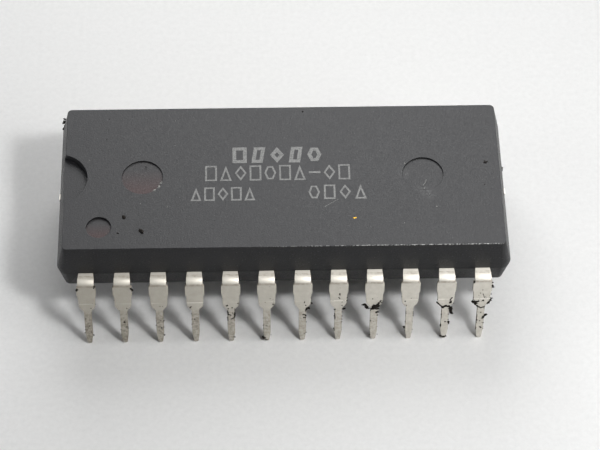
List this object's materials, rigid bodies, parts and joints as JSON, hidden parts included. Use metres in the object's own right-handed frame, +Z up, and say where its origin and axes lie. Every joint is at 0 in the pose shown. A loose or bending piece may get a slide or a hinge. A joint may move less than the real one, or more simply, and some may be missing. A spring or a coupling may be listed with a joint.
{
  "type": "dual in-line integrated circuit",
  "caption": "Wide dual in-line chip: drafted grey epoxy body with an end notch, rows of bent, tapering leads down both long sides, and the leadframe, die and bond wires inside.",
  "frame": {"origin": "under the middle of the body, on the plane of the lead tips", "axes": "+X along the body, away from the notched end; +Y across it, towards the row with the higher lead numbers; +Z up, out of the marked face"},
  "size_m": [0.032, 0.0176, 0.0081],
  "materials": {
    "moulding_compound": "silica-filled epoxy as transfer moulded, matt, dusty and lightly scuffed",
    "tinned_lead": "solder-dipped tin over stamped nickel-iron strip, satin, dulled, with flux crumbs",
    "bare_leadframe": "stamped nickel-iron strip, bare",
    "silver_epoxy": "silver-filled epoxy, cured",
    "silicon": "polished and passivated silicon",
    "gold_wire": "drawn gold wire"
  },
  "bodies": {
    "root": {"epoxy_body": "moulding_compound", "lead_01": "tinned_lead", "lead_02": "tinned_lead", "lead_03": "tinned_lead", "lead_04": "tinned_lead", "lead_05": "tinned_lead", "lead_06": "tinned_lead", "lead_07": "tinned_lead", "lead_08": "tinned_lead", "lead_09": "tinned_lead", "lead_10": "tinned_lead", "lead_11": "tinned_lead", "lead_12": "tinned_lead", "lead_13": "tinned_lead", "lead_14": "tinned_lead", "lead_15": "tinned_lead", "lead_16": "tinned_lead", "lead_17": "tinned_lead", "lead_18": "tinned_lead", "lead_19": "tinned_lead", "lead_20": "tinned_lead", "lead_21": "tinned_lead", "lead_22": "tinned_lead", "lead_23": "tinned_lead", "lead_24": "tinned_lead", "die_pad": "bare_leadframe", "die_attach": "silver_epoxy", "silicon_die": "silicon", "bond_wire_01": "gold_wire", "bond_wire_02": "gold_wire", "bond_wire_03": "gold_wire", "bond_wire_04": "gold_wire", "bond_wire_05": "gold_wire", "bond_wire_06": "gold_wire", "bond_wire_07": "gold_wire", "bond_wire_08": "gold_wire", "bond_wire_09": "gold_wire", "bond_wire_10": "gold_wire", "bond_wire_11": "gold_wire", "bond_wire_12": "gold_wire", "bond_wire_13": "gold_wire", "bond_wire_14": "gold_wire", "bond_wire_15": "gold_wire", "bond_wire_16": "gold_wire", "bond_wire_17": "gold_wire", "bond_wire_18": "gold_wire", "bond_wire_19": "gold_wire", "bond_wire_20": "gold_wire", "bond_wire_21": "gold_wire", "bond_wire_22": "gold_wire", "bond_wire_23": "gold_wire", "bond_wire_24": "gold_wire"}
  },
  "joints": []
}
